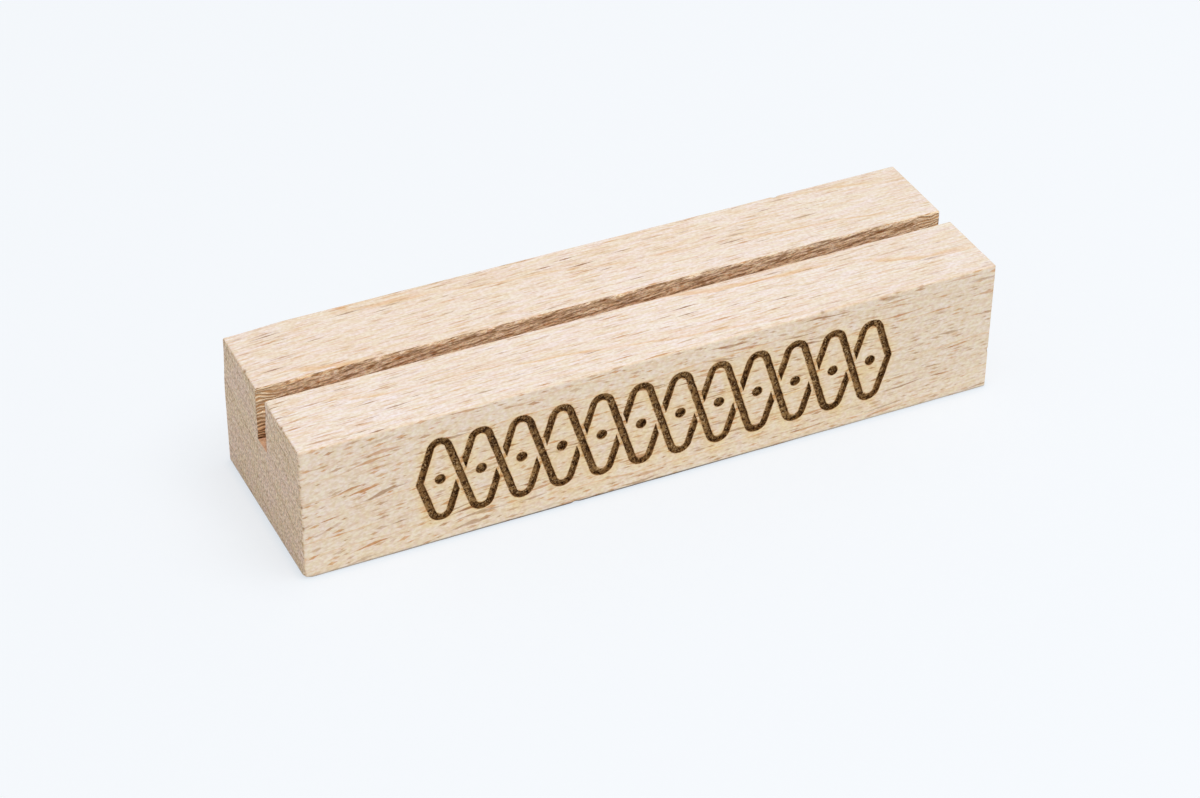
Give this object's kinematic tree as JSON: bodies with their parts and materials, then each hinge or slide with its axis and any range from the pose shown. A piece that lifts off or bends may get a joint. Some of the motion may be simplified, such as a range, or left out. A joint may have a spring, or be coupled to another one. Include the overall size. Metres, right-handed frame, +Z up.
{
  "type": "photo block holder",
  "caption": "Solid beech block that stands on a table and holds a photo or card upright in a saw slot along its top, with an interlaced ornament engraved on its front.",
  "frame": {"origin": "middle of the face that the block stands on", "axes": "+X along the block and its slot, to the right seen from the engraved front; -Y towards the engraved front; +Z up, towards the slot's mouth"},
  "size_m": [0.1, 0.028, 0.02],
  "materials": {
    "beech": "untreated beech, planed and fine sanded; saw-cut slot; engraving burnt brown"
  },
  "bodies": {
    "root": {"slotted_block": "beech"}
  },
  "joints": []
}
